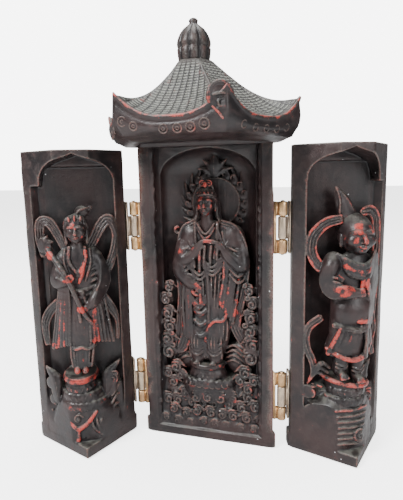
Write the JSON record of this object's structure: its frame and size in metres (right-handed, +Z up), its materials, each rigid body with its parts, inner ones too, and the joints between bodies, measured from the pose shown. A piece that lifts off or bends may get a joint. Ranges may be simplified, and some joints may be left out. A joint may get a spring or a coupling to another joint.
{
  "type": "folding shrine box",
  "caption": "Hexagonal pagoda shrine box in dark red-worn cast resin: a robed deity stands in the niche, and the two front doors, hinged in brass, open on carved attendants.",
  "frame": {"origin": "on the flat underside of the body, in the middle of its width and depth without the doors and roof", "axes": "+Z up, the niche and the closed doors face -Y, +X to the right of someone who looks at the niche"},
  "size_m": [0.1803, 0.085, 0.2151],
  "materials": {
    "resin": "dark brown-black cast resin, semi-matte, worn red on the high points",
    "brass": "dull aged brass"
  },
  "bodies": {
    "body": {"shrine_body": "resin", "left_lower_hinge_body_leaf": "brass", "left_lower_hinge_pin": "brass", "left_upper_hinge_body_leaf": "brass", "left_upper_hinge_pin": "brass", "right_lower_hinge_body_leaf": "brass", "right_lower_hinge_pin": "brass", "right_upper_hinge_body_leaf": "brass", "right_upper_hinge_pin": "brass"},
    "left_leaf": {"left_door": "resin", "left_lower_hinge_door_leaf": "brass", "left_upper_hinge_door_leaf": "brass"},
    "right_leaf": {"right_door": "resin", "right_lower_hinge_door_leaf": "brass", "right_upper_hinge_door_leaf": "brass"}
  },
  "joints": [
    {"name": "left_door_hinge", "type": "hinge", "parent": "body", "child": "left_leaf", "pos_m": [-0.03925, -0.01222, 0.078], "axis": [0, 0, -1], "range_deg": [-109.9, 110.1]},
    {"name": "right_door_hinge", "type": "hinge", "parent": "body", "child": "right_leaf", "pos_m": [0.03925, -0.01222, 0.078], "axis": [0, 0, 1], "range_deg": [-163, 57]}
  ]
}
